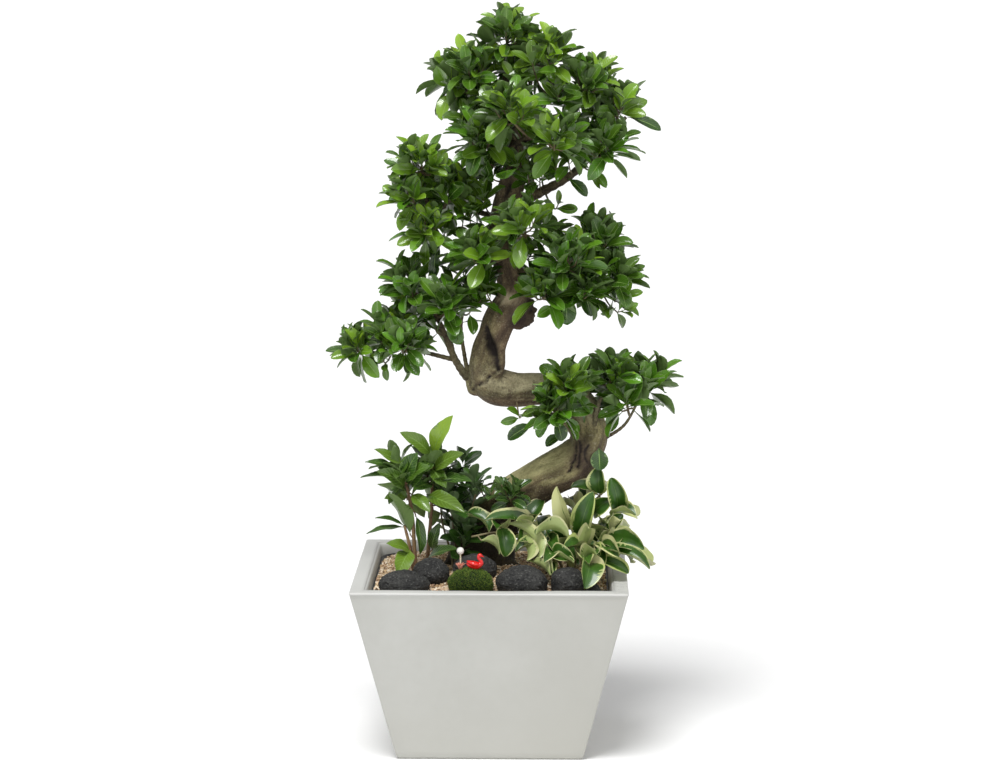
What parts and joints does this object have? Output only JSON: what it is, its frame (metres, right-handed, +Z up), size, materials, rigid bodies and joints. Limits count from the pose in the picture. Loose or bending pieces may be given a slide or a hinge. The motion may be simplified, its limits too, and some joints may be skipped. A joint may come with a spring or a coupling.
{
  "type": "chinese banyan bonsai",
  "caption": "Chinese banyan bonsai with an S-shaped trunk and leafy pads, in a square tapered white planter with gravel, lava stones and low plants.",
  "frame": {"origin": "centre of the planter's flat underside, on the floor", "axes": "+Z up along the planter's height; -Y towards the front, where the stones and the bird figure lie; +X towards the right seen from the front"},
  "size_m": [0.584, 0.452, 1.2208],
  "materials": {
    "planter_white": "matte",
    "liner_black": "satin",
    "potting_soil": "matte",
    "gravel": "matte",
    "bark": "matte",
    "banyan_leaf": "satin",
    "broad_leaf": "satin",
    "shrub_leaf": "satin",
    "wax_leaf": "satin",
    "lava": "matte",
    "moss": "matte",
    "red_resin": "gloss",
    "pearl": "gloss",
    "stick": "satin",
    "coral_flower": "satin"
  },
  "bodies": {
    "root": {"planter": "planter_white", "liner": "liner_black", "soil": "potting_soil", "gravel": "gravel", "trunk": "bark", "crown_back": "banyan_leaf", "crown_back_left": "banyan_leaf", "crown_back_right": "banyan_leaf", "crown_back_top": "banyan_leaf", "crown_far_left": "banyan_leaf", "crown_far_right": "banyan_leaf", "crown_front": "banyan_leaf", "crown_low_front": "banyan_leaf", "crown_low_left": "banyan_leaf", "crown_low_right": "banyan_leaf", "crown_right": "banyan_leaf", "crown_top": "banyan_leaf", "crown_top_right": "banyan_leaf", "crown_upper_left": "banyan_leaf", "low_left_back": "banyan_leaf", "low_left_front": "banyan_leaf", "low_left_in": "banyan_leaf", "low_left_out": "banyan_leaf", "low_left_tip": "banyan_leaf", "low_left_top": "banyan_leaf", "low_right_back": "banyan_leaf", "low_right_front": "banyan_leaf", "low_right_in": "banyan_leaf", "low_right_low": "banyan_leaf", "low_right_tip": "banyan_leaf", "low_right_top": "banyan_leaf", "low_sprig": "banyan_leaf", "mid_left_front": "banyan_leaf", "mid_right_back": "banyan_leaf", "mid_right_front": "banyan_leaf", "mid_right_low": "banyan_leaf", "mid_right_out": "banyan_leaf", "mid_right_tip": "banyan_leaf", "mid_right_top": "banyan_leaf", "mid_right_under": "banyan_leaf", "upper_left_back": "banyan_leaf", "upper_left_in": "banyan_leaf", "upper_left_low": "banyan_leaf", "upper_left_out": "banyan_leaf", "upper_left_tip": "banyan_leaf", "broadleaf_plant": "broad_leaf", "dark_shrub": "shrub_leaf", "wax_plant": "wax_leaf", "lava_stone_left": "lava", "lava_stone_left_rear": "lava", "lava_stone_middle": "lava", "lava_stone_middle_rear": "lava", "lava_stone_right": "lava", "lava_stone_small": "lava", "moss_ball": "moss", "bird_figure": "red_resin", "bead": "pearl", "bead_stick": "stick", "stick_flower": "coral_flower"}
  },
  "joints": []
}
